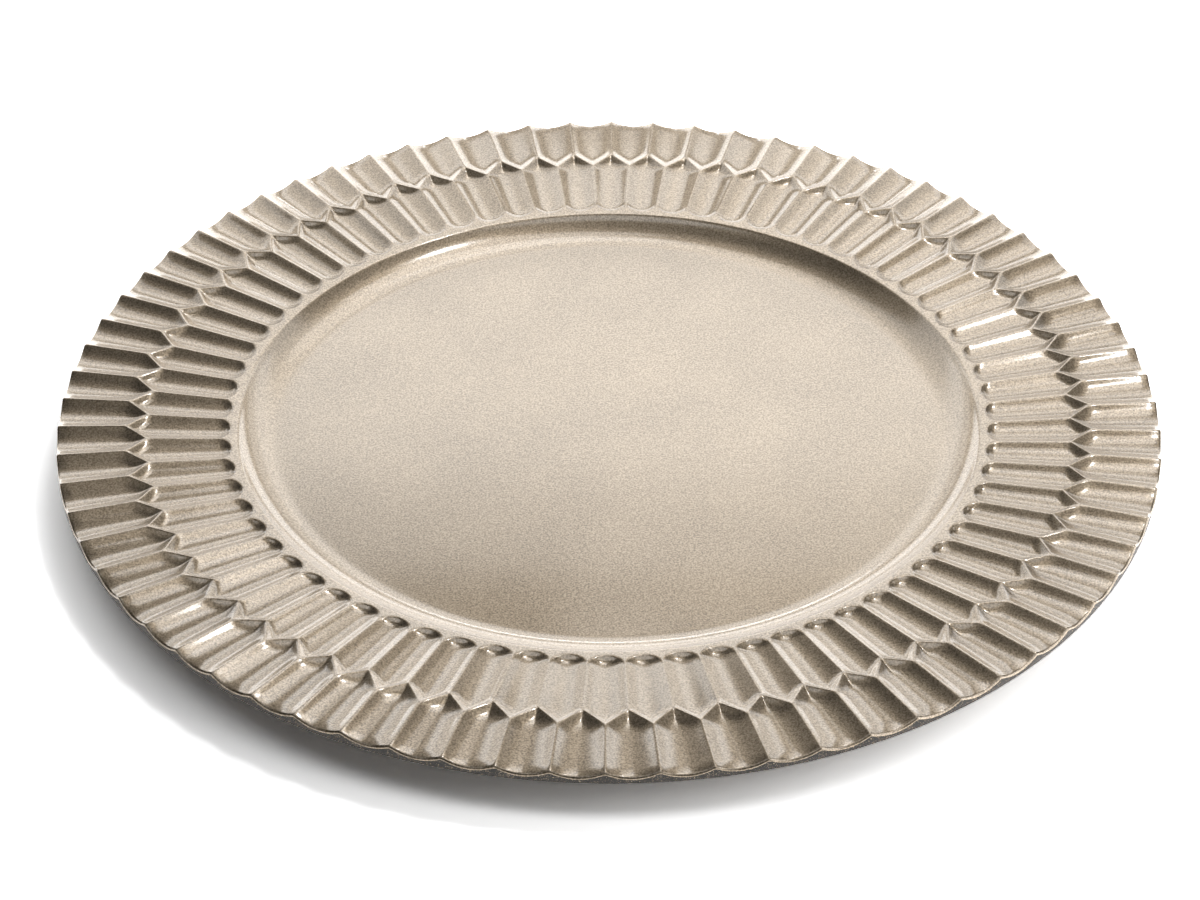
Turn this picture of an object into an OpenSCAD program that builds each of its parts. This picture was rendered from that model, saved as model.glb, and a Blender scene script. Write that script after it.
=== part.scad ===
// Charger plate with a rim of two rings of flutes that interlock along a zigzag crest.
// Millimetres, +Z up. The origin is on the plate's axis, in the plane that the feet stand on.
// Heights of the rim are worked out downwards from the tips of its ridges.

/* [Plate] */
// Diameter over the rim's ridge tips
plate_d = 330; // [270:1:400]
// Depth of the well floor below the ridge tips
well_depth = 9.5; // [6.5:0.1:14]
// Thickness of the well floor and of the verge around it
floor_t = 2.5; // [1.5:0.1:4]
// Thickness of the rim, from its ridge tips to its smooth underside
rim_t = 4.1; // [3:0.1:5]
// Radius of the rim's lower edge
edge_r = 0.6; // [0.2:0.1:1]

/* [Rim rings, each measured inwards] */
// Length of the outer ridges
outer_ring_w = 20.4; // [14:0.1:26]
// Width of the zigzag between its outer and inner points
zigzag_w = 6.4; // [4:0.1:9]
// Length of the inner ridges, down to the tips of the round flute ends
inner_ring_w = 24.4; // [16:0.1:30]
// Width of the plain land between the flutes and the verge
land_w = 2.2; // [1:0.1:8]
// Width of the curved verge that drops to the well floor
verge_w = 12.6; // [8:0.1:18]

/* [Rim fall, each measured inwards] */
// Fall of the outer ridges
outer_fall = 1; // [0.4:0.1:2]
// Fall of the zigzag crest
zigzag_fall = 0.6; // [0.2:0.1:1.2]
// Fall of the inner ridges
inner_fall = 2.4; // [1:0.1:3]
// Fall of the land
land_fall = 0.2; // [0:0.1:1]

/* [Flutes] */
// Number of flutes in each ring
flutes = 72; // [48:1:90]
// Depth of an outer flute at the rim's edge
edge_flute_depth = 1.7; // [0.8:0.05:2.2]
// Depth of an outer flute beside the zigzag
outer_flute_depth = 1.9; // [0.8:0.05:2.4]
// Depth of an inner flute beside the zigzag
inner_flute_depth = 1.7; // [0.8:0.05:2.2]
// Depth of an inner flute where its round end begins
well_flute_depth = 1.35; // [0.6:0.05:1.8]
// Width of the narrow flat along the top of each ridge
ridge_w = 0.6; // [0.2:0.1:1.2]
// Width of the narrow flat along the top of the zigzag crest
crest_w = 0.6; // [0.2:0.1:1.2]
// Slope of the crease down the pointed end of an outer flute, in degrees
outer_point_slope = 19; // [15:1:40]
// Slope of the crease down the pointed end of an inner flute, in degrees
inner_point_slope = 36; // [25:1:45]
// Slope of an inner flute's round end at its lip, in degrees
round_end_slope = 45; // [40:1:70]

/* [Foot] */
// Height of the foot ring and of the cups below the well floor's underside
foot_h = 3.2; // [1.5:0.1:6]
// Thickness of the foot ring
foot_ring_t = 2; // [1:0.1:4]
// Distance from the edge of the well floor in to the middle of the foot ring
foot_inset = 9; // [8:0.5:20]
// Wall of a cup around its rubber foot
cup_wall = 1.6; // [1:0.1:3]
// Radius of the lower edges of the foot ring
foot_edge_r = 0.5; // [0.2:0.1:0.8]

/* [Rubber feet] */
// Number of rubber feet
feet = 4; // [3:1:6]
// Diameter of a rubber foot
rubber_d = 10; // [7:0.5:14]
// Height that a rubber foot stands out below its cup
rubber_stand = 0.8; // [0.4:0.1:2]
// Radius of a rubber foot's lower edge
rubber_edge_r = 0.5; // [0.1:0.1:0.8]
// Clearance all round a rubber foot in its cup
rubber_clearance = 0.15; // [0.05:0.05:0.4]
// Thickness of an adhesive disc
adhesive_t = 0.2; // [0.1:0.1:0.5]
// Distance that an adhesive disc stays inside the edge of its foot
adhesive_margin = 0.4; // [0.1:0.1:1]

/* [Hidden] */
$fn = 180;

// Overrun of every cut past the faces that it opens
overrun = 1;

// Heights above the plane that the feet stand on
cup_z = rubber_stand;
under_z = cup_z + foot_h;
floor_z = under_z + floor_t;
rim_z = floor_z + well_depth;

// The rim's top line, from the edge inwards
rim_r = plate_d / 2;
outer_point_r = rim_r - outer_ring_w;
outer_point_z = rim_z - outer_fall;
inner_point_r = outer_point_r - zigzag_w;
inner_point_z = outer_point_z - zigzag_fall;
lip_r = inner_point_r - inner_ring_w;
lip_z = inner_point_z - inner_fall;
verge_r = lip_r - land_w;
verge_z = lip_z - land_fall;
floor_r = verge_r - verge_w;

// The verge is an arc that leaves the floor level and ends at the land
verge_drop = verge_z - floor_z;
verge_arc_r = (pow(verge_w, 2) + pow(verge_drop, 2)) / (2 * verge_drop);

// Height that the land's line has where it is carried on inwards to the edge of the floor
land_end_z = verge_z - verge_w * land_fall / land_w;

// Angle from a ridge to the middle of its flute
half_pitch = 180 / flutes;

// Places of the feet
foot_ring_r = floor_r - foot_inset;
cup_bore_r = rubber_d / 2 + rubber_clearance;
foot_angle = 360 / feet;

// Distance from the middle of a flute to the edge of the flat on its ridge, at a distance from the axis
function flute_half_w(x) = x * tan(half_pitch) - ridge_w / 2;

// Radius of a round trough that has this half width and this depth
function trough_r(half_w, depth) = (pow(half_w, 2) + pow(depth, 2)) / (2 * depth);

// The plate's section before the flutes are cut, with x as the radius and y as the height
module plate_section() {
    difference() {
        union() {
            rim_slab();
            verge_underside();
        }
        translate([floor_r, floor_z + verge_arc_r])
            circle(verge_arc_r);
    }
    translate([0, under_z])
        square([floor_r, floor_t]);
    translate([foot_ring_r, under_z])
        foot_rib();
}

// Rim and land: a slab that follows the ridge tips, rounded at its lower edge.
// Its land is carried on inwards over the floor's edge, and the verge's arc cuts it off.
module rim_slab() {
    difference() {
        polygon([
            [rim_r, rim_z],
            [outer_point_r, outer_point_z],
            [inner_point_r, inner_point_z],
            [lip_r, lip_z],
            [floor_r, land_end_z],
            [floor_r, land_end_z - rim_t],
            [lip_r, lip_z - rim_t],
            [inner_point_r, inner_point_z - rim_t],
            [outer_point_r, outer_point_z - rim_t],
            [rim_r, rim_z - rim_t]
        ]);
        edge_rounding();
    }
}

// What is left of the rim's lower corner outside a circle that touches its side and its underside
module edge_rounding() {
    slope = atan(outer_fall / outer_ring_w);
    reach = edge_r + overrun;
    translate([rim_r - edge_r, rim_z - rim_t - edge_r * tan(slope) + edge_r / cos(slope)])
        difference() {
            polygon([
                [0, 0],
                [reach * tan(slope), -reach],
                [reach, -reach],
                [reach, 0]
            ]);
            circle(edge_r);
        }
}

// Underside of the verge: a circle about the centre of the verge's arc, kept below the land
module verge_underside() {
    intersection() {
        translate([floor_r, floor_z + verge_arc_r])
            circle(verge_arc_r + floor_t);
        polygon([
            [floor_r, under_z],
            [floor_r, land_end_z],
            [lip_r, lip_z],
            [lip_r, under_z]
        ]);
    }
}

// Foot ring's rib, hanging below the floor about its middle, with round lower edges
module foot_rib() {
    half_flat = foot_ring_t / 2 - foot_edge_r;
    translate([-foot_ring_t / 2, foot_edge_r - foot_h])
        square([foot_ring_t, foot_h - foot_edge_r + floor_t / 2]);
    translate([-half_flat, -foot_h])
        square([2 * half_flat, foot_h]);
    for (side = [-1, 1])
        translate([side * half_flat, foot_edge_r - foot_h])
            circle(foot_edge_r);
}

// Tapered round trough along +X that has the given depths where the ridges beside it end.
// Its lowest line runs straight from [in_r, in_z - in_depth] to [out_r, out_z - out_depth].
module trough(out_r, out_z, out_depth, in_r, in_z, in_depth, past_in) {
    out_trough_r = trough_r(flute_half_w(out_r), out_depth);
    in_trough_r = trough_r(flute_half_w(in_r), in_depth);
    run = out_r - in_r;
    rise = out_z - out_depth - in_z + in_depth;
    taper = atan((out_trough_r - in_trough_r) / norm([run, rise]));
    tilt = atan(rise / run) + taper;
    length = norm([run, rise]) * cos(taper) + overrun;
    translate([in_r, 0, in_z - in_depth])
        rotate([0, 90 - tilt, 0])
            translate([-in_trough_r * cos(taper), 0, -past_in])
                cylinder(
                    h = past_in + length,
                    r1 = in_trough_r * cos(taper) - past_in * tan(taper),
                    r2 = in_trough_r * cos(taper) + length * tan(taper)
                );
}

// Space above the two faces of a pointed end, along +X from the point, which is the origin.
// The crease between the faces falls at the given slope. Their upper edges run beside [run, side_w, rise].
// It starts an overrun before the point, so that the crease leaves the rim's surface cleanly there.
module pointed_end(crease_slope, run, side_w, rise, length) {
    slant = (run * sin(crease_slope) + rise * cos(crease_slope)) / side_w;
    rotate([0, crease_slope, 0])
        translate([-overrun, 0, 0])
            rotate([90, 0, 90])
                linear_extrude(overrun + length)
                    polygon([
                        [0, 0],
                        [length, length * slant],
                        [length, length * (slant + 1)],
                        [-length, length * (slant + 1)],
                        [-length, length * slant]
                    ]);
}

// Space inside a round end, along +X from its lip
module round_end(lip_w, length) {
    ball_r = lip_w / sin(round_end_slope);
    translate([lip_w, 0, lip_w / tan(round_end_slope)]) {
        sphere(ball_r);
        translate([0, -ball_r, -ball_r])
            cube([length, 2 * ball_r, 2 * ball_r]);
    }
}

// Outer flute along +X: open at the rim's edge, pointed at the zigzag
module outer_flute() {
    run = outer_point_r * cos(half_pitch) - inner_point_r;
    side_w = outer_point_r * sin(half_pitch);
    setback = crest_w / 2 * norm([run, side_w]) / side_w;
    length = outer_ring_w + zigzag_w + 2 * overrun;
    intersection() {
        trough(
            rim_r, rim_z, edge_flute_depth,
            outer_point_r, outer_point_z, outer_flute_depth,
            zigzag_w
        );
        translate([inner_point_r + setback, 0, inner_point_z + setback * zigzag_fall / zigzag_w])
            pointed_end(outer_point_slope, run, side_w, zigzag_fall, length / cos(outer_point_slope));
    }
}

// Inner flute along +X: pointed at the zigzag, round at the land
module inner_flute() {
    run = outer_point_r - inner_point_r * cos(half_pitch);
    side_w = inner_point_r * sin(half_pitch);
    setback = crest_w / 2 * norm([run, side_w]) / side_w;
    length = inner_ring_w + zigzag_w + overrun;
    intersection() {
        inner_trough();
        translate([outer_point_r - setback, 0, outer_point_z - setback * zigzag_fall / zigzag_w])
            mirror([1, 0, 0])
                pointed_end(inner_point_slope, run, side_w, -zigzag_fall, length / cos(inner_point_slope));
        translate([lip_r, 0, lip_z])
            round_end(lip_r * tan(half_pitch), length);
    }
}

// Trough of an inner flute, carried on outwards past the zigzag
module inner_trough() {
    slope_share = (inner_ring_w + zigzag_w) / inner_ring_w;
    trough(
        outer_point_r,
        lip_z + inner_fall * slope_share,
        well_flute_depth + (inner_flute_depth - well_flute_depth) * slope_share,
        lip_r, lip_z, well_flute_depth,
        overrun
    );
}

// Both rings of flutes, the inner ring half a flute round from the outer one
module flute_rings() {
    for (i = [0:flutes - 1]) {
        rotate([0, 0, (2 * i + 1) * half_pitch])
            outer_flute();
        rotate([0, 0, 2 * i * half_pitch])
            inner_flute();
    }
}

// Lays one copy at each rubber foot's place, or only the one that is numbered
module at_feet(numbers) {
    for (i = numbers)
        rotate([0, 0, (i - 1 / 2) * foot_angle])
            translate([foot_ring_r, 0, 0])
                children();
}

// Cup moulded under the floor around a rubber foot
module cup() {
    translate([0, 0, cup_z])
        cylinder(h = foot_h + floor_t / 2, r = cup_bore_r + cup_wall);
}

// Bore of a cup, up to the floor's underside
module cup_bore() {
    translate([0, 0, cup_z - overrun])
        cylinder(h = foot_h + overrun, r = cup_bore_r);
}

// One-piece moulded plate
module fluted_plate() {
    color([0.76, 0.70, 0.61])
        difference() {
            union() {
                // Turned, so that the seam of the ring misses the tips of the round flute ends
                rotate([0, 0, half_pitch / 2])
                    rotate_extrude()
                        plate_section();
                at_feet([1:feet])
                    cup();
            }
            at_feet([1:feet])
                cup_bore();
            flute_rings();
        }
}

// Anti-slip foot: a rubber disc with a round lower edge
module rubber_foot(number) {
    foot_r = rubber_d / 2;
    foot_t = under_z - adhesive_t;
    color([0.12, 0.12, 0.12])
        at_feet([number])
            rotate_extrude() {
                square([foot_r - rubber_edge_r, foot_t]);
                translate([0, rubber_edge_r])
                    square([foot_r, foot_t - rubber_edge_r]);
                translate([foot_r - rubber_edge_r, rubber_edge_r])
                    circle(rubber_edge_r);
            }
}

// Disc of double-sided adhesive between a rubber foot and the floor of its cup
module adhesive_disc(number) {
    color([0.90, 0.88, 0.80])
        at_feet([number])
            translate([0, 0, under_z - adhesive_t])
                cylinder(h = adhesive_t, r = rubber_d / 2 - adhesive_margin);
}

fluted_plate();
for (i = [1:feet]) {
    rubber_foot(i);
    adhesive_disc(i);
}
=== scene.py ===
# %% [markdown]
# # A fluted charger plate
# A charger plate is one thin plastic moulding that lies under a dinner plate. This one has a flat
# well, a curved verge, and a wide rim with two rings of flutes that meet along a zigzag crest. It
# stands on four rubber feet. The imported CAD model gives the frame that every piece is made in, in
# metres, so the lesson begins by opening it.

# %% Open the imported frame
import math

import bpy
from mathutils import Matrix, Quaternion, Vector


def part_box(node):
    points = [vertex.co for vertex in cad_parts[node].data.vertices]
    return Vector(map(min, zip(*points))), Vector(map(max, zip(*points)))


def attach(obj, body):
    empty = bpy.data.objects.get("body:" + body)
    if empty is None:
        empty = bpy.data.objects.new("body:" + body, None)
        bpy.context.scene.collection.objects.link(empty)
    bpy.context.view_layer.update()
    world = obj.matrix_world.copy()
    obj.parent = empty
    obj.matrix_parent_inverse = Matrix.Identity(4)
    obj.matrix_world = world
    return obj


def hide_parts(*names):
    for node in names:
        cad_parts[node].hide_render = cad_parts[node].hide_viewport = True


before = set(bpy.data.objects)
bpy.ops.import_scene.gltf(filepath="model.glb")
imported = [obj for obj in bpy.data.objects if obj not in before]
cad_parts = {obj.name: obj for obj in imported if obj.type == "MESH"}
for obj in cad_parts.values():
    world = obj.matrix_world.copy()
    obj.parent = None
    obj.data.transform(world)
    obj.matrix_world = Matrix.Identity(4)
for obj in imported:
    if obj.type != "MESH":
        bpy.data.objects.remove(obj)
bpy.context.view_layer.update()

# %% [markdown]
# ## Sizes
# The real plate is drawn as a section: a line from the ridge tips at its edge down to the floor of
# the well. The outer size comes from the frame, and the steps of the section are measured inwards
# and downwards from there, as a mould maker would note them.

# %% Sizes of the section
mm = 0.001

plate_low, plate_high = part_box("fluted_plate")
rim_r = plate_high.x
rim_z = plate_high.z
cup_z = plate_low.z

outer_ring_w = 20.4 * mm
zigzag_w = 6.4 * mm
inner_ring_w = 24.4 * mm
land_w = 2.2 * mm
verge_w = 12.6 * mm

outer_fall = 1.0 * mm
zigzag_fall = 0.6 * mm
inner_fall = 2.4 * mm
land_fall = 0.2 * mm
well_depth = 9.5 * mm

outer_point_r = rim_r - outer_ring_w
inner_point_r = outer_point_r - zigzag_w
lip_r = inner_point_r - inner_ring_w
verge_r = lip_r - land_w
floor_r = verge_r - verge_w

outer_point_z = rim_z - outer_fall
inner_point_z = outer_point_z - zigzag_fall
lip_z = inner_point_z - inner_fall
verge_z = lip_z - land_fall
floor_z = rim_z - well_depth

print("well floor is", round(2 * floor_r / mm, 1), "mm across and", round(floor_z / mm, 1), "mm up")

# %% Sizes of the flutes
flutes = 72
edge_depth = 1.7 * mm
outer_depth = 1.9 * mm
inner_depth = 1.7 * mm
lip_depth = 1.35 * mm
ridge_w = 0.6 * mm
crest_w = 0.6 * mm
outer_point_slope = math.radians(19)
inner_point_slope = math.radians(36)
round_end_slope = math.radians(45)

print("one flute takes", 360 / flutes, "degrees")

# %% Sizes of the walls and the foot
rim_t = 4.1 * mm
floor_t = 2.5 * mm
edge_r = 0.75 * mm
under_z = floor_z - floor_t
foot_inset = 9 * mm
foot_ring_r = floor_r - foot_inset
foot_ring_t = 2 * mm
foot_edge_r = 0.5 * mm
feet = 4
bore_r = 5.15 * mm
cup_r = 6.75 * mm

# %% [markdown]
# ## Plain arithmetic on sockets
# Both the plate's shape and its finish are formulas made of nodes. Written node by node they are hard
# to read, so a small class wraps a socket and lets it take part in ordinary Python arithmetic. Each
# operator adds the one Math node that it stands for.

# %% A socket that can be added and multiplied
def plug(target, value):
    """Gives an input socket a value, or links it where the value comes from another node."""
    if isinstance(value, Value):
        value = value.socket
    if isinstance(value, bpy.types.NodeSocket):
        target.id_data.links.new(value, target)
    else:
        target.default_value = value


def math_node(operation, *operands):
    """Adds a Math node to the tree that the operands are in."""
    tree = next(operand.socket.id_data for operand in operands if isinstance(operand, Value))
    node = tree.nodes.new("ShaderNodeMath")
    node.operation = operation
    for target, operand in zip(node.inputs, operands):
        plug(target, operand)
    return Value(node.outputs[0])


class Value:
    """An output socket in plain arithmetic."""

    def __init__(self, socket):
        self.socket = socket

    def __add__(self, other):
        return math_node("ADD", self, other)

    def __radd__(self, other):
        return math_node("ADD", other, self)

    def __sub__(self, other):
        return math_node("SUBTRACT", self, other)

    def __rsub__(self, other):
        return math_node("SUBTRACT", other, self)

    def __mul__(self, other):
        return math_node("MULTIPLY", self, other)

    def __rmul__(self, other):
        return math_node("MULTIPLY", other, self)

    def __truediv__(self, other):
        return math_node("DIVIDE", self, other)

    def __rtruediv__(self, other):
        return math_node("DIVIDE", other, self)


# %% Functions of a socket
def root(value):
    return math_node("SQRT", value)


def sine(value):
    return math_node("SINE", value)


def cosine(value):
    return math_node("COSINE", value)


def tangent(value):
    return math_node("TANGENT", value)


def lower(first, second, rounding=None):
    """The lower of two heights, or a rounded join of them."""
    if rounding is None:
        return math_node("MINIMUM", first, second)
    return math_node("SMOOTH_MIN", first, second, rounding)


def higher(first, second, rounding=None):
    """The higher of two heights, or a rounded join of them."""
    if rounding is None:
        return math_node("MAXIMUM", first, second)
    return math_node("SMOOTH_MAX", first, second, rounding)


def between(start, end, share):
    """The value that lies at this share of the way from start to end."""
    return start + (end - start) * share


# %% Any other node
class Nodes:
    """Adds nodes to a tree: first a node's settings, then the values or links of its sockets."""

    def __init__(self, tree):
        self.tree = tree

    def add(self, kind, settings=None, sockets=None):
        node = self.tree.nodes.new(kind)
        for name, value in (settings or {}).items():
            setattr(node, name, value)
        for name, value in (sockets or {}).items():
            plug(node.inputs[name], value)
        return node


# %% [markdown]
# ## The plate's shape
# The moulding could be modelled by hand with booleans, but then every ridge would meet the next one
# in odd slivers. The rim follows a rule instead, so Geometry Nodes lay it out. Half a flute is enough:
# a flat grid is bent by formulas so that its rows follow the crest and the round flute ends and its
# columns follow the ridges. Its mirror image completes the flute, and 72 turned copies close the ring.

# %% The tree and its named inputs
plate_tree = bpy.data.node_groups.new("Fluted plate", "GeometryNodeTree")
plate_nodes = Nodes(plate_tree)
plate_tree.interface.new_socket("Geometry", in_out="OUTPUT", socket_type="NodeSocketGeometry")

fine_columns = 10
coarse_columns = 2

plate_sizes = {
    "Flutes": flutes,
    "Fine Columns": fine_columns,
    "Coarse Columns": coarse_columns,
    "Rim Radius": rim_r,
    "Rim Height": rim_z,
    "Outer Point Radius": outer_point_r,
    "Outer Point Height": outer_point_z,
    "Inner Point Radius": inner_point_r,
    "Inner Point Height": inner_point_z,
    "Lip Radius": lip_r,
    "Lip Height": lip_z,
    "Verge Radius": verge_r,
    "Verge Height": verge_z,
    "Floor Radius": floor_r,
    "Floor Height": floor_z,
    "Edge Depth": edge_depth,
    "Outer Depth": outer_depth,
    "Inner Depth": inner_depth,
    "Lip Depth": lip_depth,
    "Ridge Width": ridge_w,
    "Crest Width": crest_w,
    "Outer Point Slope": outer_point_slope,
    "Inner Point Slope": inner_point_slope,
    "Round End Slope": round_end_slope,
    "Rim Thickness": rim_t,
    "Edge Rounding": edge_r,
    "Underside Height": under_z,
    "Cup Height": cup_z,
    "Foot Ring Radius": foot_ring_r,
    "Foot Ring Thickness": foot_ring_t,
    "Foot Rounding": foot_edge_r,
    "Feet": feet,
    "Bore Radius": bore_r,
    "Cup Radius": cup_r,
}

size_sockets = {}
for name, value in plate_sizes.items():
    kind = "NodeSocketInt" if isinstance(value, int) else "NodeSocketFloat"
    size_sockets[name] = plate_tree.interface.new_socket(name, in_out="INPUT", socket_type=kind)

group_input = plate_nodes.add("NodeGroupInput")
size = {name: Value(group_input.outputs[name]) for name in plate_sizes}
print("the plate's tree has", len(size), "named sizes")

# %% A patch of the half flute
half_angle = math.pi / size["Flutes"]
patches = []


def patch(columns, rows, place):
    """A grid of columns across half a flute and rows along the section, put where place says.
    place gives the radius, the share of the half flute and the height of each point."""
    grid = plate_nodes.add(
        "GeometryNodeMeshGrid",
        sockets={"Size X": 1.0, "Size Y": 1.0, "Vertices X": columns + 1, "Vertices Y": rows + 1},
    )
    spot = plate_nodes.add(
        "ShaderNodeSeparateXYZ",
        sockets={"Vector": plate_nodes.add("GeometryNodeInputPosition").outputs["Position"]},
    )
    radius, share, height = place(Value(spot.outputs["X"]) + 0.5, Value(spot.outputs["Y"]) + 0.5)
    angle = share * half_angle
    point = plate_nodes.add(
        "ShaderNodeCombineXYZ",
        sockets={"X": radius * cosine(angle), "Y": radius * sine(angle), "Z": height},
    )
    moved = plate_nodes.add(
        "GeometryNodeSetPosition",
        sockets={"Geometry": grid.outputs["Mesh"], "Position": point.outputs["Vector"]},
    )
    patches.append(moved.outputs["Geometry"])


# %% [markdown]
# ## Heights on the rim
# The top line is the plain surface that the flutes are sunk into. It falls more steeply with each
# ring, so it is the lowest of their straight lines, and the land inside them is a little flatter
# again. An outer flute is a round trough whose depth and width change along it, and its pointed end is
# a pair of faces that meet in a crease. The higher of trough and faces is the flute, and the lower of
# flute and top line is the rim. Rounded joins give the fillets that a polished mould has.

# %% The top line of the rim
def section_point(name):
    """Radius and height of a named point of the section."""
    return size[name + " Radius"], size[name + " Height"]


rim_tip = section_point("Rim")
outer_point = section_point("Outer Point")
inner_point = section_point("Inner Point")
lip_point = section_point("Lip")
verge_edge = section_point("Verge")


def line(x, start_x, start_z, end_x, end_z):
    """Height at x of the straight line through two points of the section."""
    return start_z + (x - start_x) * ((end_z - start_z) / (end_x - start_x))


def top_line(x):
    outer = line(x, *outer_point, *rim_tip)
    zigzag = line(x, *inner_point, *outer_point)
    inner = line(x, *lip_point, *inner_point)
    land = line(x, *verge_edge, *lip_point)
    return lower(lower(outer, zigzag), higher(inner, land))


# %% A tapered round trough
def half_width(x):
    """From the middle of a flute to the edge of the flat on its ridge."""
    return x * tangent(half_angle) - size["Ridge Width"] * 0.5


def trough_radius(x, depth):
    width = half_width(x)
    return (width * width + depth * depth) / (depth * 2)


def trough(x, y, in_x, in_z, in_depth, out_x, out_z, out_depth):
    """Height of a trough along X with these depths below the ridges at its two ends."""
    lowest = line(x, in_x, in_z - in_depth, out_x, out_z - out_depth)
    radius = line(x, in_x, trough_radius(in_x, in_depth), out_x, trough_radius(out_x, out_depth))
    return lowest + radius - root(radius * radius - y * y)


# %% The two faces of a pointed end
crease_r = 0.35 * mm


def pointed_faces(ahead, y, slope, run, side_w, rise):
    """Height, from the point, of two faces with a crease that falls at this slope ahead of it.
    run, side_w and rise lead along the crest from the point to the next one."""
    across = root(y * y + crease_r**2) - crease_r
    return across * ((rise + tangent(slope) * run) / side_w) - ahead * tangent(slope)


def crest_setback(run, side_w):
    """Where the faces start behind a point, so that the crest keeps its narrow flat."""
    return size["Crest Width"] * 0.5 * root(run * run + side_w * side_w) / side_w


# %% Heights of the outer flutes
outer_blend = 1.1 * mm
ridge_blend = 0.28 * mm


def outer_height(radius, share):
    """Height of the rim outside the crest. The flute's middle is at share 1."""
    across = half_angle * (1 - share)
    x = radius * cosine(across)
    y = radius * sine(across)
    hollow = trough(x, y, *outer_point, size["Outer Depth"], *rim_tip, size["Edge Depth"])
    run = size["Outer Point Radius"] * cosine(half_angle) - size["Inner Point Radius"]
    side_w = size["Outer Point Radius"] * sine(half_angle)
    rise = size["Outer Point Height"] - size["Inner Point Height"]
    start_x = size["Inner Point Radius"] + crest_setback(run, side_w)
    falling = pointed_faces(x - start_x, y, size["Outer Point Slope"], run, side_w, rise)
    faces = top_line(start_x) + falling
    return lower(higher(hollow, faces, outer_blend), top_line(radius), ridge_blend)


# %% Heights of the inner flutes
inner_blend = 0.7 * mm
round_end_blend = 0.9 * mm
lip_blend = 0.9 * mm


def inner_height(radius, share):
    """Height of the rim inside the crest. The flute's middle is at share 0."""
    across = half_angle * share
    x = radius * cosine(across)
    y = radius * sine(across)
    hollow = trough(x, y, *lip_point, size["Lip Depth"], *inner_point, size["Inner Depth"])
    run = size["Outer Point Radius"] - size["Inner Point Radius"] * cosine(half_angle)
    side_w = size["Inner Point Radius"] * sine(half_angle)
    rise = size["Inner Point Height"] - size["Outer Point Height"]
    start_x = size["Outer Point Radius"] - crest_setback(run, side_w)
    falling = pointed_faces(start_x - x, y, size["Inner Point Slope"], run, side_w, rise)
    faces = top_line(start_x) + falling
    floor = higher(higher(hollow, faces, inner_blend), round_end(x, y), round_end_blend)
    return lower(floor, top_line(radius), lip_blend)


def round_end(x, y):
    """Height inside a ball at the flute's end, carried on outwards as a round trough."""
    lip_w = size["Lip Radius"] * tangent(half_angle)
    ball_r = lip_w / sine(size["Round End Slope"])
    ball_x = size["Lip Radius"] + lip_w
    ball_z = size["Lip Height"] + lip_w / tangent(size["Round End Slope"])
    short = lower(x - ball_x, 0.0)
    inside = ball_r * ball_r - short * short - y * y
    return ball_z - root(higher(inside, 0.0))


# %% [markdown]
# ## Lines that the rows follow
# A ridge of light runs along the crest and round each flute's end, so a row of the grid lies exactly
# there, with the next rows close beside it. Along the crest, that row is a straight line from an outer
# point to an inner one. Round a flute's end it is part of a circle.

# %% The crest and the lip as rows
def eased(share):
    """Shares that lie close together at both ends."""
    return 0.5 - 0.5 * cosine(share * math.pi)


def crest_radius(share):
    """Distance from the axis to the straight line from the outer point to the inner point."""
    angle = share * half_angle
    out_r = size["Outer Point Radius"]
    in_x = size["Inner Point Radius"] * cosine(half_angle)
    in_y = size["Inner Point Radius"] * sine(half_angle)
    return out_r * in_y / (in_y * cosine(angle) + (out_r - in_x) * sine(angle))


def lip_radius(share):
    """Distance from the axis to the round lip at the end of an inner flute."""
    angle = share * half_angle
    lip_w = size["Lip Radius"] * tangent(half_angle)
    centre_x = size["Lip Radius"] + lip_w
    off = centre_x * sine(angle)
    return centre_x * cosine(angle) - root(higher(lip_w * lip_w - off * off, 0.0))


# %% The fine patches, from the lower edge over the rim to the land
fine = size["Fine Columns"]
fine_land_w = 1.2 * mm
fine_end_r = size["Verge Radius"] + fine_land_w
top_start_r = size["Rim Radius"] - size["Edge Rounding"]
wall_bottom = top_line(top_start_r) - size["Rim Thickness"] + size["Edge Rounding"]


def quarter(share):
    """The angle that goes from zero to a right angle."""
    return share * (math.pi / 2)


def lower_edge(across, along):
    turn = quarter(along)
    radius = top_start_r + size["Edge Rounding"] * sine(turn)
    return radius, eased(across), wall_bottom - size["Edge Rounding"] * cosine(turn)


def side_wall(across, along):
    share = eased(across)
    wall_top = outer_height(top_start_r, share) - size["Edge Rounding"]
    return size["Rim Radius"], share, between(wall_bottom, wall_top, along)


def upper_edge(across, along):
    share = eased(across)
    turn = quarter(along)
    radius = top_start_r + size["Edge Rounding"] * cosine(turn)
    height = outer_height(top_start_r, share) - size["Edge Rounding"] * (1 - sine(turn))
    return radius, share, height


outer_rows = 15
inner_rows = 20
lip_rows = 6
top_rows = outer_rows + inner_rows + lip_rows


def stretch(along, first_row, rows):
    """Share of the way through these rows of the top patch, held at 0 before and at 1 after them."""
    share = (along * top_rows - first_row) / rows
    return lower(higher(share, 0.0), 1.0)


def rim_top(across, along):
    share = eased(across)
    outer = 1 - stretch(along, 0, outer_rows)
    inner = eased(stretch(along, outer_rows, inner_rows))
    land = stretch(along, outer_rows + inner_rows, lip_rows)
    crest_r = crest_radius(share)
    lip_r_here = lip_radius(share)
    radius = (
        between(top_start_r, crest_r, 1 - outer * outer)
        + (lip_r_here - crest_r) * inner
        + (fine_end_r - lip_r_here) * (land * land)
    )
    return radius, share, lower(outer_height(radius, share), inner_height(radius, share))


rim_rows = {lower_edge: 4, side_wall: 2, upper_edge: 4, rim_top: top_rows}
for place, rows in rim_rows.items():
    patch(fine, rows, place)
print("fine patches:", len(patches))

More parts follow.
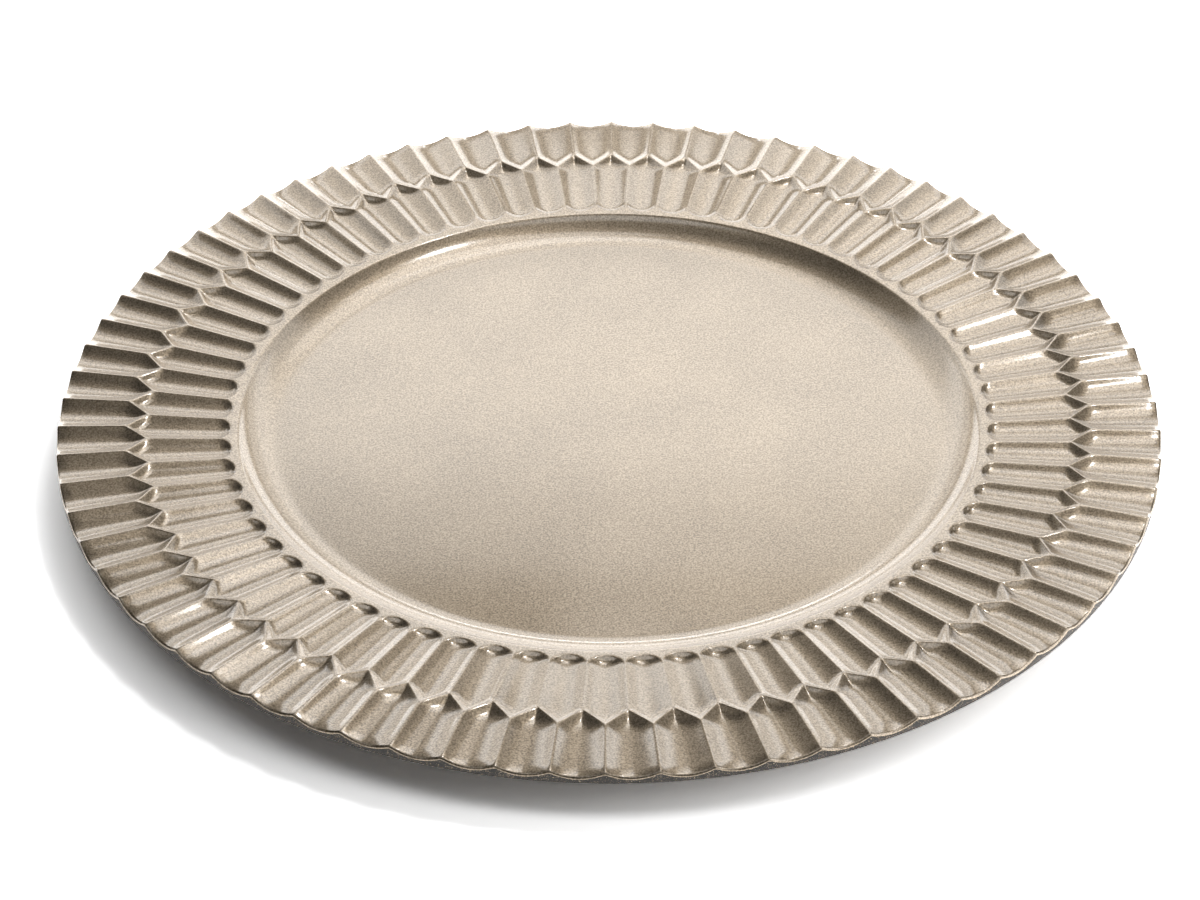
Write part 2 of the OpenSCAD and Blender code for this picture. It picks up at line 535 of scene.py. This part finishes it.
# %% [markdown]
# ## The plain part of the plate
# Away from the flutes the plate is smooth all the way round, so it needs far fewer columns. Where
# the two meet, one row slides its fine points along the circle to the nearest coarse column. Merging
# by distance then closes that seam for good.

# %% Seams between fine and coarse columns
seam_w = 0.45 * mm
coarse = size["Coarse Columns"]


def snapped(across):
    """The nearest coarse column."""
    return math_node("ROUND", across * coarse) / coarse


def land_seam(across, along):
    share = between(eased(across), snapped(across), along)
    radius = fine_end_r - seam_w * along
    return radius, share, top_line(radius)


def under_seam(across, along):
    share = between(snapped(across), eased(across), along)
    radius = top_start_r - seam_w * (1 - along)
    return radius, share, top_line(radius) - size["Rim Thickness"]


patch(fine, 1, land_seam)
patch(fine, 1, under_seam)

# %% The well, from the land to the middle of the floor
verge_drop = size["Verge Height"] - size["Floor Height"]
verge_run = size["Verge Radius"] - size["Floor Radius"]
verge_arc_r = (verge_run * verge_run + verge_drop * verge_drop) / (verge_drop * 2)
verge_angle = math_node("ARCSINE", verge_run / verge_arc_r)
crease_share = 0.06
crease_land_w = 0.5 * mm


def verge_point(share):
    """A point of the verge's arc, from the crease at share 0 to the floor at share 1."""
    turn = verge_angle * (1 - share)
    radius = size["Floor Radius"] + verge_arc_r * sine(turn)
    return radius, size["Floor Height"] + verge_arc_r * (1 - cosine(turn))


def plain_land(across, along):
    radius = between(fine_end_r - seam_w, size["Verge Radius"] + crease_land_w, along)
    return radius, across, top_line(radius)


def crease(across, along):
    """A curve that leaves the land and meets the verge, pulled towards the sharp corner between."""
    start_r = size["Verge Radius"] + crease_land_w
    end_r, end_z = verge_point(crease_share)
    first = (1 - along) * (1 - along)
    middle = along * (1 - along) * 2
    last = along * along
    radius = start_r * first + size["Verge Radius"] * middle + end_r * last
    height = top_line(start_r) * first + size["Verge Height"] * middle + end_z * last
    return radius, across, height


def verge(across, along):
    radius, height = verge_point(between(crease_share, 1.0, along))
    return radius, across, height


def well_floor(across, along):
    return size["Floor Radius"] * (1 - along * along), across, size["Floor Height"]


well_rows = {plain_land: 1, crease: 4, verge: 14, well_floor: 7}
for place, rows in well_rows.items():
    patch(coarse, rows, place)
print("patches with the well:", len(patches))

# %% The underside, from its middle to the rim
ring_in = size["Foot Ring Radius"] - size["Foot Ring Thickness"] * 0.5
ring_out = size["Foot Ring Radius"] + size["Foot Ring Thickness"] * 0.5
rounding = size["Foot Rounding"]
# The foot ring ends a hair above the cups, so that the two have no face in one plane
hair = 0.02 * mm
ring_z = size["Cup Height"] + hair
under_drop = size["Verge Height"] - size["Rim Thickness"] - size["Underside Height"]
under_arc_r = (verge_run * verge_run + under_drop * under_drop) / (under_drop * 2)
under_angle = math_node("ARCSINE", verge_run / under_arc_r)


def middle_underside(across, along):
    return ring_in * root(along), across, size["Underside Height"]


def ring_inside(across, along):
    return ring_in, across, between(size["Underside Height"], ring_z + rounding, along)


def ring_inner_edge(across, along):
    turn = quarter(along)
    radius = ring_in + rounding * (1 - cosine(turn))
    return radius, across, ring_z + rounding * (1 - sine(turn))


def ring_bottom(across, along):
    return between(ring_in + rounding, ring_out - rounding, along), across, ring_z


def ring_outer_edge(across, along):
    turn = quarter(along)
    radius = ring_out - rounding * (1 - sine(turn))
    return radius, across, ring_z + rounding * (1 - cosine(turn))


def ring_outside(across, along):
    return ring_out, across, between(ring_z + rounding, size["Underside Height"], along)


def outer_underside(across, along):
    return between(ring_out, size["Floor Radius"], along), across, size["Underside Height"]


def verge_underside(across, along):
    turn = under_angle * along
    radius = size["Floor Radius"] + under_arc_r * sine(turn)
    return radius, across, size["Underside Height"] + under_arc_r * (1 - cosine(turn))


def rim_underside(across, along):
    radius = between(size["Verge Radius"], top_start_r - seam_w, along)
    return radius, across, top_line(radius) - size["Rim Thickness"]


underside_rows = {
    middle_underside: 3,
    ring_inside: 3,
    ring_inner_edge: 3,
    ring_bottom: 1,
    ring_outer_edge: 3,
    ring_outside: 3,
    outer_underside: 3,
    verge_underside: 8,
    rim_underside: 8,
}
for place, rows in underside_rows.items():
    patch(coarse, rows, place)
print("all patches:", len(patches))

# %% [markdown]
# ## From half a flute to the plate
# The patches are joined, mirrored and turned round the axis. A mirrored face would point inwards, so
# the mirror image is flipped. The four cups for the rubber feet are joined on at the end, and
# their bores are cut out, which also opens the foot ring where they cross it.

# %% Mirror, repeat and close the ring
def joined(*parts):
    node = plate_nodes.add("GeometryNodeJoinGeometry")
    for part in parts:
        plate_tree.links.new(part, node.inputs["Geometry"])
    return node.outputs["Geometry"]


half_flute = joined(*patches)
mirrored = plate_nodes.add(
    "GeometryNodeTransform", sockets={"Geometry": half_flute, "Scale": (1.0, -1.0, 1.0)}
)
flipped = plate_nodes.add("GeometryNodeFlipFaces", sockets={"Mesh": mirrored.outputs["Geometry"]})
flute = joined(half_flute, flipped.outputs["Mesh"])

copy_number = Value(plate_nodes.add("GeometryNodeInputIndex").outputs["Index"])
copy_turn = plate_nodes.add("ShaderNodeCombineXYZ", sockets={"Z": copy_number * half_angle * 2})
# The seeds of the ring all lie on the axis, so each copy only turns
seeds = plate_nodes.add(
    "GeometryNodeMeshLine", sockets={"Count": size["Flutes"], "Offset": (0.0, 0.0, 0.0)}
)
ring = plate_nodes.add(
    "GeometryNodeInstanceOnPoints",
    sockets={"Points": seeds.outputs["Mesh"], "Instance": flute, "Rotation": copy_turn.outputs["Vector"]},
)
solid_ring = plate_nodes.add(
    "GeometryNodeRealizeInstances", sockets={"Geometry": ring.outputs["Instances"]}
)
merge_distance = 0.003 * mm
closed_ring = plate_nodes.add(
    "GeometryNodeMergeByDistance",
    sockets={"Geometry": solid_ring.outputs["Geometry"], "Distance": merge_distance},
)

# %% Cups under the floor
def at_feet(radius, bottom, top, sides):
    """A cylinder at each rubber foot's place."""
    tube = plate_nodes.add(
        "GeometryNodeMeshCylinder", sockets={"Vertices": sides, "Radius": radius, "Depth": top - bottom}
    )
    lift = plate_nodes.add("ShaderNodeCombineXYZ", sockets={"Z": (top + bottom) * 0.5})
    lifted = plate_nodes.add(
        "GeometryNodeTransform",
        sockets={"Geometry": tube.outputs["Mesh"], "Translation": lift.outputs["Vector"]},
    )
    places = plate_nodes.add(
        "GeometryNodeMeshCircle",
        sockets={"Vertices": size["Feet"], "Radius": size["Foot Ring Radius"]},
    )
    between_axes = plate_nodes.add("ShaderNodeCombineXYZ", sockets={"Z": math.pi / size["Feet"]})
    turned = plate_nodes.add(
        "GeometryNodeTransform",
        sockets={"Geometry": places.outputs["Mesh"], "Rotation": between_axes.outputs["Vector"]},
    )
    copies = plate_nodes.add(
        "GeometryNodeInstanceOnPoints",
        sockets={"Points": turned.outputs["Geometry"], "Instance": lifted.outputs["Geometry"]},
    )
    return plate_nodes.add(
        "GeometryNodeRealizeInstances", sockets={"Geometry": copies.outputs["Instances"]}
    ).outputs["Geometry"]


cup_sides = 72
overrun = 1 * mm
# The cups reach up into the middle of the floor's wall, so that the union joins solid to solid
mid_wall = (size["Underside Height"] + size["Floor Height"]) * 0.5
cups = at_feet(size["Cup Radius"], size["Cup Height"], mid_wall, cup_sides)
bores = at_feet(size["Bore Radius"], size["Cup Height"] - overrun, size["Underside Height"], cup_sides)


def combined(operation, first, second):
    """Two closed meshes added together, or the first with the second cut out."""
    node = plate_nodes.add("GeometryNodeMeshBoolean", {"operation": operation, "solver": "EXACT"})
    if operation == "DIFFERENCE":
        plug(node.inputs["Mesh 1"], first)
    else:
        plate_tree.links.new(first, node.inputs["Mesh 2"])
    plate_tree.links.new(second, node.inputs["Mesh 2"])
    return node.outputs["Mesh"]


with_cups = combined("UNION", closed_ring.outputs["Geometry"], cups)
moulding = combined("DIFFERENCE", with_cups, bores)

# %% Shading and the tree's end
champagne = bpy.data.materials.new("Champagne lacquer")
sharp_angle = math.radians(50)
edge_angle = Value(plate_nodes.add("GeometryNodeInputMeshEdgeAngle").outputs["Unsigned Angle"])
smooth = plate_nodes.add("GeometryNodeSetShadeSmooth", sockets={"Geometry": moulding})
creased = plate_nodes.add(
    "GeometryNodeSetShadeSmooth",
    {"domain": "EDGE"},
    {
        "Geometry": smooth.outputs["Geometry"],
        "Selection": math_node("GREATER_THAN", edge_angle, sharp_angle),
        "Shade Smooth": False,
    },
)
painted = plate_nodes.add(
    "GeometryNodeSetMaterial", sockets={"Geometry": creased.outputs["Geometry"], "Material": champagne}
)
plate_nodes.add("NodeGroupOutput", sockets={"Geometry": painted.outputs["Geometry"]})
print("the plate's tree has", len(plate_tree.nodes), "nodes")

# %% Run the tree and keep its mesh
def grown(name, tree, sockets, values):
    """A plain mesh object from a node tree with these input values."""
    seed = bpy.data.objects.new(name + " seed", bpy.data.meshes.new(name + " seed"))
    bpy.context.collection.objects.link(seed)
    modifier = seed.modifiers.new("Geometry Nodes", "NODES")
    modifier.node_group = tree
    for key, value in values.items():
        modifier[sockets[key].identifier] = value
    graph = bpy.context.evaluated_depsgraph_get()
    mesh = bpy.data.meshes.new_from_object(seed.evaluated_get(graph))
    bpy.data.objects.remove(seed)
    made = bpy.data.objects.new(name, mesh)
    bpy.context.collection.objects.link(made)
    return made


plate = grown("plate", plate_tree, size_sockets, plate_sizes)
plate.data.name = "plate"
print("plate:", len(plate.data.vertices), "points,", len(plate.data.loop_triangles), "triangles")

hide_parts("fluted_plate")
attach(plate, "root")

# %% [markdown]
# ## Champagne lacquer
# The finish is a metallic lacquer. Its base coat is full of
# small metal flakes that lie nearly flat, and a clear coat covers them. Two layers of one Principled
# shader stand for these: a satin metal whose noise tilts and tints it flake by flake, and a smooth coat
# that keeps thin, sharp lines of light. On the rim's wall and the underside, which point sideways or
# down, the lacquer is painted in shade: the flakes thin out to specks on a near-black colour there.

# %% Textures in metres
def noise(nodes, grain, detail=2.0, roughness=0.5):
    """Noise, from 0 to 1, whose grains are about this many metres across."""
    place = nodes.add("ShaderNodeTexCoord").outputs["Object"]
    node = nodes.add(
        "ShaderNodeTexNoise",
        sockets={"Vector": place, "Scale": 1 / grain, "Detail": detail, "Roughness": roughness},
    )
    return Value(node.outputs["Fac"])


def share_between(value, start, end):
    """Maps start to 0 and end to 1, and holds the result between them."""
    return lower(higher((value - start) / (end - start), 0.0), 1.0)


def mixed(nodes, share, first, second):
    """A colour between two colours. The Mix node's sockets for colours are the ones with these numbers."""
    node = nodes.add("ShaderNodeMix", {"data_type": "RGBA"})
    plug(node.inputs[0], share)
    for target, colour in zip((node.inputs[6], node.inputs[7]), (first, second)):
        plug(target, colour if isinstance(colour, bpy.types.NodeSocket) else (*colour, 1.0))
    return node.outputs[2]


# %% The start and the end of a finish
def new_shader(material):
    """Empties the nodes of a material or of the world, ready for new ones."""
    material.use_nodes = True
    material.node_tree.nodes.clear()
    return Nodes(material.node_tree)


def relief(nodes, height, depth):
    """The normal of a surface whose bumps stand this many metres proud where height is 1."""
    bump = nodes.add("ShaderNodeBump", sockets={"Strength": 1.0, "Distance": depth, "Height": height})
    return bump.outputs["Normal"]


def finish(nodes, kind, sockets):
    """Ends a material in one shader of this kind."""
    shader = nodes.add(kind, sockets=sockets)
    nodes.add("ShaderNodeOutputMaterial", sockets={"Surface": shader.outputs["BSDF"]})


# %% Where the lacquer is painted dark as shade
# How far a face points upwards, from 0 for a wall to 1 for a floor, where the coat starts and is full
coat_starts = 0.1
coat_full = 0.5
speck_size = 0.3 * mm
speck_starts = 0.60
speck_full = 0.66

nodes = new_shader(champagne)
facing = nodes.add(
    "ShaderNodeSeparateXYZ",
    sockets={"Vector": nodes.add("ShaderNodeTexCoord").outputs["Normal"]},
)
upwards = share_between(Value(facing.outputs["Z"]), coat_starts, coat_full)
speck = noise(nodes, speck_size)
# Faces that point sideways or down get painted shade: only sparse lacquer specks on a near-black colour
unshaded_share = share_between(speck + upwards, speck_starts, speck_full)

# %% The flakes
flake_size = 0.55 * mm
flake_height = 0.022 * mm
flake_low = 0.36
flake_high = 0.64
flake_part = 0.7
cloud_size = 30 * mm
cloud_part = 0.3
flake_pale = (0.62, 0.50, 0.36)
flake_dark = (0.17, 0.13, 0.085)

flake = share_between(noise(nodes, flake_size, detail=3.0, roughness=0.6), flake_low, flake_high)
cloud = noise(nodes, cloud_size)
flakes = mixed(nodes, flake * flake_part + cloud * cloud_part, flake_dark, flake_pale)

# %% The clear coat over them
# The near-black colour of the painted shade on the rim's wall and the underside, and its roughness
wall_painted_shade = (0.022, 0.018, 0.015)
shaded_wall_roughness = 0.5
flake_roughness = 0.36
clear_roughness = 0.13
clear_ior = 2.0

finish(
    nodes,
    "ShaderNodeBsdfPrincipled",
    {
        "Base Color": mixed(nodes, unshaded_share, wall_painted_shade, flakes),
        "Metallic": unshaded_share,
        "Roughness": between(shaded_wall_roughness, flake_roughness, unshaded_share),
        "Coat Weight": upwards,
        "Coat Roughness": clear_roughness,
        "Coat IOR": clear_ior,
        "Normal": relief(nodes, flake, flake_height),
    },
)
print("the lacquer has", len(champagne.node_tree.nodes), "nodes")

# %% [markdown]
# ## Rubber feet and their adhesive
# Each foot is a disc of matt black rubber, die-cut from sheet, so it has a fine even grain and picks up
# a little dust. The adhesive is a thin pale film that holds it in its cup. The CAD model already has
# both shapes right, so they keep their meshes and only get their finishes.

# %% Rubber
rubber_black = (0.018, 0.018, 0.019)
rubber_roughness = 0.62
rubber_grain = 0.25 * mm
rubber_relief = 0.02 * mm
dust_colour = (0.16, 0.15, 0.14)
dust_size = 3 * mm
dust_low = 0.50
dust_high = 0.75
dust_part = 0.25
dust_roughness = 0.2

rubber = bpy.data.materials.new("Foot rubber")
nodes = new_shader(rubber)
grain = noise(nodes, rubber_grain, detail=4.0)
dust = share_between(noise(nodes, dust_size, detail=5.0), dust_low, dust_high)
finish(
    nodes,
    "ShaderNodeBsdfPrincipled",
    {
        "Base Color": mixed(nodes, dust * dust_part, rubber_black, dust_colour),
        "Roughness": rubber_roughness + dust * dust_roughness,
        "Normal": relief(nodes, grain, rubber_relief),
    },
)
print("the rubber has", len(rubber.node_tree.nodes), "nodes")

# %% Adhesive
foam_dark = (0.62, 0.57, 0.42)
foam_pale = (0.76, 0.72, 0.60)
foam_roughness = 0.5
cell_size = 0.15 * mm
cell_relief = 0.01 * mm
cell_roughness = 0.15

adhesive = bpy.data.materials.new("Foam adhesive")
nodes = new_shader(adhesive)
cells = noise(nodes, cell_size, detail=3.0)
finish(
    nodes,
    "ShaderNodeBsdfPrincipled",
    {
        "Base Color": mixed(nodes, cells, foam_dark, foam_pale),
        "Roughness": foam_roughness + cells * cell_roughness,
        "Normal": relief(nodes, cells, cell_relief),
    },
)
print("the adhesive has", len(adhesive.node_tree.nodes), "nodes")

# %% Give the CAD nodes their finishes
for number in range(1, feet + 1):
    for name, material in ((f"rubber_foot_{number}", rubber), (f"adhesive_disc_{number}", adhesive)):
        for material_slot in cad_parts[name].material_slots:
            material_slot.material = material
print("finished", 2 * feet, "CAD nodes")

# %% [markdown]
# ## Table and studio
# The plate was photographed on a white table that runs out of the picture on all sides, in a small
# light tent. The table here is a plain disc that is wider than the picture, and beyond its edge the
# camera sees a white world. The disc looks paler to the camera than it is for the light, as in a
# picture that was exposed until the table went white, and it still shows the shadow. The tent's panels
# stand close to the plate, so its far side sees them higher up than its near side does. That is what
# makes the well paler towards the back. The strips of the ceiling hang right of the middle, which
# leaves the flutes on the left darker, and two small bright lamps draw thin white lines on the flutes.

# %% The table
table_r = 800 * mm
table_corners = 96
turns = [2 * math.pi * corner / table_corners for corner in range(table_corners)]
table_edge = [(table_r * math.cos(turn), table_r * math.sin(turn), 0.0) for turn in turns]
table_mesh = bpy.data.meshes.new("table")
table_mesh.from_pydata(table_edge, [], [tuple(range(table_corners))])
table = bpy.data.objects.new("table", table_mesh)
bpy.context.collection.objects.link(table)
print("the table is", 2 * table_r, "m across")

# %% White paper on the table
table_white = 0.8
exposed_white = 3.6
fibre_size = 1.5 * mm
fibre_contrast = 0.02

table_finish = bpy.data.materials.new("White table")
nodes = new_shader(table_finish)
path = nodes.add("ShaderNodeLightPath")
# Camera rays and the plate's reflections see the paper at exposed_white: an evenly white backdrop to the
# camera, and painted brightness in the plate's reflections
seen = higher(
    Value(path.outputs["Is Camera Ray"]),
    higher(Value(path.outputs["Is Glossy Ray"]), Value(path.outputs["Is Transmission Ray"])),
)
fibre = noise(nodes, fibre_size, detail=3.0)
grey = 1 - fibre_contrast / 2 + fibre * fibre_contrast
level = between(table_white, exposed_white, seen) * grey
paper = nodes.add("ShaderNodeCombineXYZ", sockets={"X": level, "Y": level, "Z": level})
finish(nodes, "ShaderNodeBsdfDiffuse", {"Color": paper.outputs["Vector"]})
table.data.materials.append(table_finish)

# %% The world
white_light = (1.0, 1.0, 1.0, 1.0)
room_light = 0.03
backdrop_light = 1.0

world = bpy.data.worlds.new("studio")
bpy.context.scene.world = world
nodes = new_shader(world)
path = nodes.add("ShaderNodeLightPath")
room = nodes.add("ShaderNodeBackground", sockets={"Color": white_light, "Strength": room_light})
white = nodes.add("ShaderNodeBackground", sockets={"Color": white_light, "Strength": backdrop_light})
chosen = nodes.add("ShaderNodeMixShader", sockets={"Fac": path.outputs["Is Camera Ray"]})
plug(chosen.inputs[1], room.outputs["Background"])
plug(chosen.inputs[2], white.outputs["Background"])
nodes.add("ShaderNodeOutputWorld", sockets={"Surface": chosen.outputs["Shader"]})
print("the world lights the plate with", room_light, "and looks", backdrop_light, "to the camera")

# %% Soft lights
plate_middle = Vector((0.0, 0.0, floor_z))


def soft_light(name, place, width, height, radiance):
    """A rectangular light that faces the plate, in metres. radiance is the brightness of its face."""
    data = bpy.data.lights.new(name, "AREA")
    data.shape = "RECTANGLE"
    data.size = width
    data.size_y = height
    data.energy = radiance * math.pi * width * height
    lamp = bpy.data.objects.new(name, data)
    lamp.location = place
    lamp.rotation_euler = (plate_middle - Vector(place)).to_track_quat("-Z", "Y").to_euler()
    lamp.visible_camera = False
    bpy.context.collection.objects.link(lamp)


# %% The back of the tent
soft_light("low_back_panel", place=(0.0, 0.42, 0.06), width=1.0, height=0.12, radiance=2.3)
soft_light("near_back_panel", place=(0.0, 0.24, 0.17), width=0.7, height=0.14, radiance=1.05)
soft_light("far_back_panel", place=(0.0, 0.75, 0.50), width=1.4, height=0.16, radiance=0.85)

# %% Its ceiling, in strips from the back to above the plate
ceiling_x = 0.15
ceiling_z = 0.80
strip_w = 0.4
strip_h = 0.2
# How far back each strip hangs, and its radiance
ceiling_strips = {
    "high_back_panel": (0.70, 0.8),
    "overhead_far_panel": (0.45, 1.9),
    "overhead_near_panel": (0.25, 1.5),
}
for name, (back, radiance) in ceiling_strips.items():
    soft_light(name, (ceiling_x, back, ceiling_z), strip_w, strip_h, radiance)

# %% Its front and right side, and the two lamps
soft_light("front_top_panel", place=(0.0, -0.20, 0.60), width=1.0, height=0.2, radiance=1.1)
soft_light("right_panel", place=(0.5, -0.17, 0.22), width=0.55, height=0.45, radiance=1.7)
soft_light("key_light", place=(0.28, 0.16, ceiling_z), width=0.06, height=0.06, radiance=50.0)
soft_light("line_lamp", place=(-0.03, 1.85, 0.75), width=0.10, height=0.10, radiance=8.0)
print("lights:", len(bpy.data.lights))

# %% Plain colours in the picture
bpy.context.scene.view_settings.view_transform = "Standard"

# %% [markdown]
# ## Camera
# The photograph was taken from about 0.9 m away and 37 degrees above the table, with a long lens.
# Matching the ring of ridge tips in the picture fixes the camera's place, and everything else
# follows from it.

# %% Put the camera where the photographer stood
camera_at = Vector((4.18, -744.09, 550.8)) * mm
aimed_at = Vector((-2.41, -25.32, 16.0)) * mm
camera_roll = math.radians(-0.10)
camera_lens = 91.19
sensor_w = 36

camera_data = bpy.data.cameras.new("camera")
camera_data.lens = camera_lens
camera_data.sensor_width = sensor_w
camera = bpy.data.objects.new("camera", camera_data)
camera.location = camera_at
camera.rotation_mode = "QUATERNION"
level_view = (aimed_at - camera_at).to_track_quat("-Z", "Y")
camera.rotation_quaternion = level_view @ Quaternion((0, 0, 1), camera_roll)
bpy.context.collection.objects.link(camera)
bpy.context.scene.camera = camera
print("camera is", round((aimed_at - camera_at).length, 2), "m from the plate")
